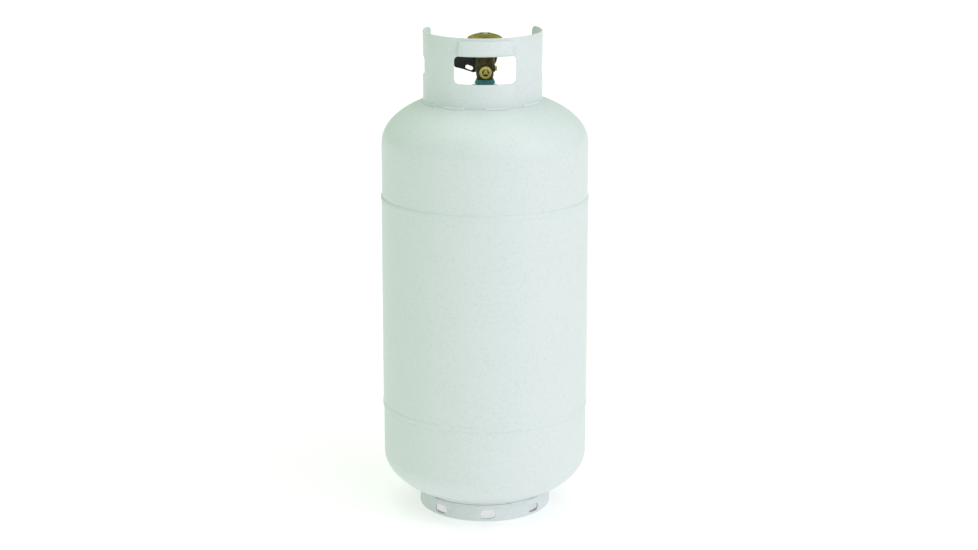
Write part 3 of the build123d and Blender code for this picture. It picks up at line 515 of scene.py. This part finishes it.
class CYLINDER_OT_stitches(CylinderOperator, bpy.types.Operator):
    """Lay the short welds that hold the collar and the foot ring"""

    bl_idname = "cylinder.stitches"
    bl_label = "Stitch welds"

    collar_spans = ((-79.0, -52.0), (-44.0, -20.0), (-2.0, 24.0), (38.0, 66.0))
    collar_foot = 629.5 * MM
    collar_slope = 0.013
    foot_middle = 29.0
    foot_half_span = 9.25

    def execute(self, context):
        s = sizes()
        low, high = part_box("collar")
        middle = (low[0] + high[0]) / 2
        radius = (high[0] - low[0]) / 2 + 0.2 * MM
        parts = [
            bead(radius, 0.0, s.stitch_radius, s.stitch_radius * 0.8, -0.9, front_angle(a), front_angle(b),
                 s.ripple_pitch, 0.25, a)
            for a, b in self.collar_spans
        ]
        whole = merged(parts)
        for v in whole.verts:
            v.co.z += self.collar_foot + 0.6 * MM + v.co.x * self.collar_slope
            v.co.x += middle
        new_piece("collar_beads", whole, finish_of("enamel"), "vessel", ["collar_welds"])
        low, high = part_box("foot_ring_welds")
        parts = []
        for number in range(4):
            middle = self.foot_middle + 90.0 * number
            a, b = middle - self.foot_half_span, middle + self.foot_half_span
            parts.append(
                bead(99.9 * MM, (low[2] + high[2]) / 2, s.stitch_radius, s.stitch_radius * 0.8, 0.5,
                     front_angle(a), front_angle(b), s.ripple_pitch, 0.25, a)
            )
        whole = merged(parts)
        new_piece("foot_beads", whole, finish_of("enamel"), "vessel", ["foot_ring_welds"])
        return {"FINISHED"}


class CYLINDER_OT_valve(CylinderOperator, bpy.types.Operator):
    """Finish the forged valve body and the pieces fixed in it"""

    bl_idname = "cylinder.valve"
    bl_label = "Valve"

    finish_nodes = {
        "forged_brass": ["valve_body"],
        "teal_plastic": ["neck_seal_ring"],
        "turned_brass": [
            "bonnet_nut", "upper_stem", "lower_spindle", "disc_holder", "dip_tube", "stop_housing",
            "stop_piston",
        ],
        "relief_brass": ["relief_poppet", "relief_retainer"],
        "bleeder_brass": ["bleed_screw"],
        "outlet_brass": ["check_seat_ring"],
        "rubber": ["bonnet_gasket", "stem_seal", "seat_disc", "relief_disc", "bleed_seal", "outlet_seal"],
        "black_plastic": ["check_poppet", "stop_float"],
        "zinc_steel": ["float_arm", "float_pin", "pin_clip"],
    }

    def execute(self, context):
        for finish, nodes in self.finish_nodes.items():
            for node in nodes:
                dress(node, finish)
        for node, body in (("relief_spring", "relief"), ("check_spring", "outlet_check")):
            bm = bmesh.new()
            bm.from_mesh(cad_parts[node].data)
            bmesh.ops.remove_doubles(bm, verts=bm.verts, dist=1e-6)
            name = node.replace("spring", "coil")
            coil = new_piece(name, bm, finish_of("zinc_steel"), None, [node])
            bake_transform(coil)
        return {"FINISHED"}


class CYLINDER_OT_handwheel(CylinderOperator, bpy.types.Operator):
    """Spin the handwheel's dome, then press in its lobes and grip ridges"""

    bl_idname = "cylinder.handwheel"
    bl_label = "Handwheel"

    # The dome's two faces in millimetres: radius, and how far below the top.
    outside = (
        (4.2, 3.0), (7.4, 3.0), (7.9, 0.5), (8.6, 0.0), (10.0, 0.2), (14.0, 1.3), (18.0, 2.9), (21.6, 4.6),
        (24.4, 6.1), (26.2, 7.6), (27.2, 9.4),
    )
    inside = ((23.8, 9.6), (20.0, 7.4), (15.0, 5.0), (9.6, 4.4), (8.5, 6.0))
    hub = 9.5 * MM
    grip_start = 16.0 * MM

    def execute(self, context):
        for node in ("handwheel_screw", "handwheel_washer"):
            dress(node, "zinc_steel")
        low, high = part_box("handwheel")
        bottom, top = low[2], high[2]
        reach = 27.2 * MM
        under_rim = bottom + 1.0 * MM
        profile = [(radius, top - drop * MM) for radius, drop in self.outside]
        profile += [(27.0, bottom + 0.9 * MM), (26.2, bottom), (25.1, bottom), (24.4, under_rim)]
        profile += [(radius, top - drop * MM) for radius, drop in self.inside]
        profile += [(8.5, bottom), (4.2, bottom)]
        bm = bmesh.new()
        verts = [bm.verts.new((x * MM, 0, z)) for x, z in profile]
        for first, second in zip(verts, verts[1:] + verts[:1]):
            bm.edges.new((first, second))
        bmesh.ops.spin(
            bm, geom=bm.verts[:] + bm.edges[:], cent=(0, 0, 0), axis=(0, 0, 1), angle=2 * pi, steps=288,
            use_merge=True,
        )
        bmesh.ops.remove_doubles(bm, verts=bm.verts, dist=1e-6)
        ridge = sizes().wheel_ridge
        for v in bm.verts:
            out = hypot(v.co.x, v.co.y)
            if out < self.hub:
                continue
            turn = atan2(v.co.y, v.co.x)
            lobe = 0.5 - 0.5 * cos(3 * (turn - radians(30.0)))
            share = ((out - self.hub) / (reach - self.hub)) ** 2
            pull = 1 - 0.105 * lobe * share
            grip = max(0.0, cos(GRIP_RIDGES * turn)) ** 0.6
            outer = v.co.z > top - 9.0 * MM and out > self.grip_start and share > 0.1
            raise_by = ridge * grip * min(1.0, (out - self.grip_start) / (5.0 * MM)) if outer else 0.0
            pull_out = (out * pull + raise_by * 0.4) / out
            v.co.x *= pull_out
            v.co.y *= pull_out
            if outer and v.co.z > top - 8.2 * MM and out > 17.0 * MM:
                v.co.z += raise_by * 0.8
        bmesh.ops.recalc_face_normals(bm, faces=bm.faces)
        new_piece("wheel_dome", bm, finish_of("yellow_zinc"), "wheel", ["handwheel"], 40.0)
        return {"FINISHED"}


class CYLINDER_OT_dust_cap(CylinderOperator, bpy.types.Operator):
    """Round the dust cap and its leash"""

    bl_idname = "cylinder.dust_cap"
    bl_label = "Dust cap and leash"

    def execute(self, context):
        bm = worked_copy("dust_cap", 0.4 * MM)
        new_piece("cap_shell", bm, finish_of("black_plastic"), "cap", ["dust_cap"])
        bm = worked_copy("leash_ring", 0.6 * MM)
        new_piece("leash_band", bm, finish_of("black_plastic"), "vessel", ["leash_ring"])
        bm = worked_copy("leash_strand", 0.5 * MM)
        strand = new_piece(
            "leash_tail", bm, finish_of("black_plastic"), None, ["leash_strand"]
        )
        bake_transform(strand)
        return {"FINISHED"}


class CYLINDER_OT_stage(CylinderOperator, bpy.types.Operator):
    """Set out the studio floor, the soft lights and the camera"""

    bl_idname = "cylinder.stage"
    bl_label = "Studio"

    camera_distance = 3.461
    camera_height = 1.246
    camera_turn = radians(-2.7)
    camera_pitch = radians(14.36)

    def execute(self, context):
        scene = context.scene
        bm = bmesh.new()
        bmesh.ops.create_grid(bm, x_segments=1, y_segments=1, size=sizes().floor_width / 2)
        mesh = bpy.data.meshes.new("floor")
        bm.to_mesh(mesh)
        bm.free()
        g = Graph("floor")
        pale = colour(colours().floor)
        glow = colour(colours().floor_glow)
        lit = {"Emission_Color": glow, "Emission_Strength": 0.5}
        mesh.materials.append(g.finish(Base_Color=pale, Roughness=0.7, **lit))
        floor = bpy.data.objects.new("floor", mesh)
        scene.collection.objects.link(floor)

        world = bpy.data.worlds.new("studio")
        scene.world = world
        world.use_nodes = True
        backdrop = world.node_tree.nodes["Background"]
        backdrop.inputs["Color"].default_value = (0.78, 1.0, 0.72, 1.0)
        backdrop.inputs["Strength"].default_value = 0.60

        suns = (
            ("overhead", (0.0, 0.0, 0.0), 0.95, 60.0, (1.0, 1.0, 1.0)),
            ("right_softbox", (62.0, 0.0, 45.0), 1.3, 70.0, (0.87, 0.72, 1.0)),
        )
        for name, turn, strength, spread, tone in suns:
            lamp = bpy.data.lights.new(name, "SUN")
            lamp.energy = strength
            lamp.angle = radians(spread)
            lamp.color = tone
            light = bpy.data.objects.new(name, lamp)
            light.rotation_euler = [radians(angle) for angle in turn]
            scene.collection.objects.link(light)

        data = bpy.data.cameras.new("camera")
        data.sensor_width = 36.0
        data.lens = 86.93
        data.shift_x = 0.0042
        data.clip_end = 100.0
        camera = bpy.data.objects.new("camera", data)
        turn = self.camera_turn
        reach = self.camera_distance
        camera.location = (reach * sin(turn), -reach * cos(turn), self.camera_height)
        camera.rotation_euler = (radians(90.0) - self.camera_pitch, 0.0, turn)
        scene.collection.objects.link(camera)
        scene.camera = camera
        scene.view_settings.view_transform = "Standard"
        return {"FINISHED"}


class CYLINDER_PT_panel(bpy.types.Panel):
    """Lists the cylinder's operators, sizes and colours"""

    bl_idname = "CYLINDER_PT_panel"
    bl_label = "Propane Cylinder"
    bl_space_type = "VIEW_3D"
    bl_region_type = "UI"
    bl_category = "Cylinder"

    def draw(self, context):
        for operator in OPERATORS:
            self.layout.operator(operator.bl_idname)
        for group in (context.scene.cylinder_sizes, context.scene.cylinder_colours):
            box = self.layout.box()
            for name in group.__annotations__:
                box.prop(group, name)


OPERATORS = (
    CYLINDER_OT_vessel,
    CYLINDER_OT_sheet_rings,
    CYLINDER_OT_girth_welds,
    CYLINDER_OT_stitches,
    CYLINDER_OT_valve,
    CYLINDER_OT_handwheel,
    CYLINDER_OT_dust_cap,
    CYLINDER_OT_stage,
)
CLASSES = (CYLINDER_PG_sizes, CYLINDER_PG_colours, *OPERATORS, CYLINDER_PT_panel)


def register():
    for item in CLASSES:
        bpy.utils.register_class(item)
    bpy.types.Scene.cylinder_sizes = bpy.props.PointerProperty(type=CYLINDER_PG_sizes)
    bpy.types.Scene.cylinder_colours = bpy.props.PointerProperty(type=CYLINDER_PG_colours)


def unregister():
    del bpy.types.Scene.cylinder_colours
    del bpy.types.Scene.cylinder_sizes
    for item in reversed(CLASSES):
        bpy.utils.unregister_class(item)


def main():
    register()
    for operator in OPERATORS:
        group, name = operator.bl_idname.split(".")
        getattr(getattr(bpy.ops, group), name)()


if __name__ == "__main__":
    main()
